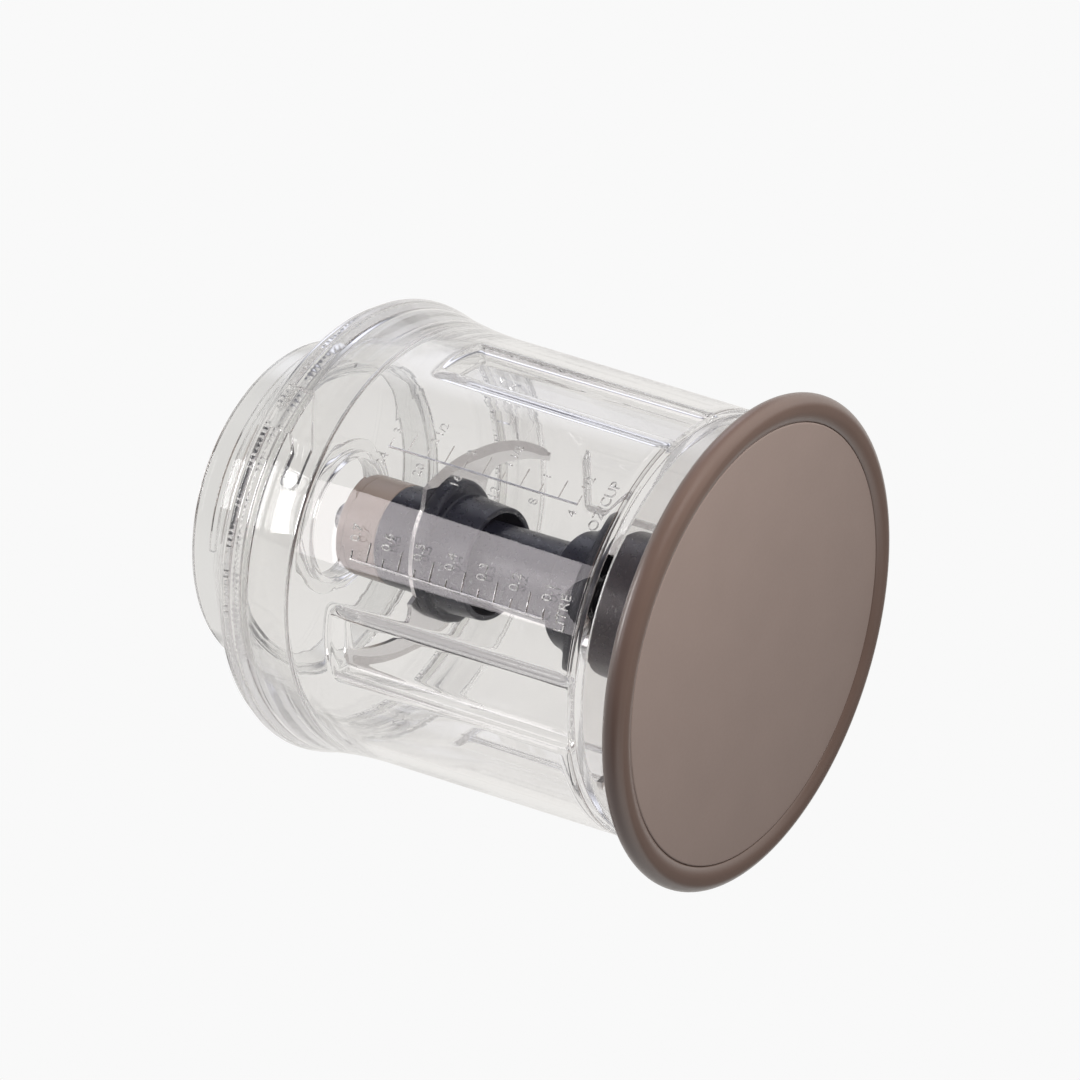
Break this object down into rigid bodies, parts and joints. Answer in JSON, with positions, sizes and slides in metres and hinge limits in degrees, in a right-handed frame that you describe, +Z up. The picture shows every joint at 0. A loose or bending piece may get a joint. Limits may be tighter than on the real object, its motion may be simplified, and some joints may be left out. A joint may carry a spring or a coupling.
{
  "type": "food chopper bowl",
  "caption": "Clear chopper bowl with two-tier blade set on a pin, bayonet lid with collar for the drive unit, and a soft base cap.",
  "frame": {"origin": "middle of the ring that the base cap stands on", "axes": "+Z up along the blade axis, -Y towards the volume scales"},
  "size_m": [0.1366, 0.1366, 0.1572],
  "materials": {
    "clear_plastic": "clear, polished",
    "taupe_satin": "satin, fine grain",
    "taupe_soft": "smooth satin",
    "taupe_gloss": "glossy",
    "charcoal_plastic": "satin",
    "blade_steel": "ground, bright edge",
    "steel": "turned",
    "bush_plastic": "natural, waxy",
    "clear_seal": "translucent"
  },
  "bodies": {
    "base": {"base_plate": "taupe_satin", "base_ring": "taupe_soft"},
    "jar": {"jar": "clear_plastic", "spindle_pin": "steel"},
    "blades": {"lower_hub": "charcoal_plastic", "lower_blade": "blade_steel", "lower_clamp_ring": "charcoal_plastic", "lower_clamp_screws": "steel", "lower_bush": "bush_plastic", "upper_bush": "bush_plastic", "thrust_pad": "bush_plastic", "upper_sleeve": "charcoal_plastic", "upper_blade": "blade_steel", "upper_blade_rivets": "steel", "upper_collar": "charcoal_plastic", "drive_coupling": "taupe_gloss", "coupling_cap": "taupe_gloss", "drive_shaft": "steel"},
    "lid": {"lid_shell": "clear_plastic", "lid_collar": "clear_plastic", "lid_socket": "clear_plastic", "lid_seal": "clear_seal"}
  },
  "joints": [
    {"name": "jar_lift", "type": "slide", "parent": "base", "child": "jar", "axis": [0, 0, 1], "range_m": [0, 0.02]},
    {"name": "blade_spin", "type": "hinge", "parent": "jar", "child": "blades", "pos_m": [0, 0, 0.1], "axis": [0, 0, 1], "continuous": true},
    {"name": "lid_twist", "type": "hinge", "parent": "jar", "child": "lid", "pos_m": [0, 0, 0.13], "axis": [0, 0, 1], "range_deg": [0, 7]}
  ]
}
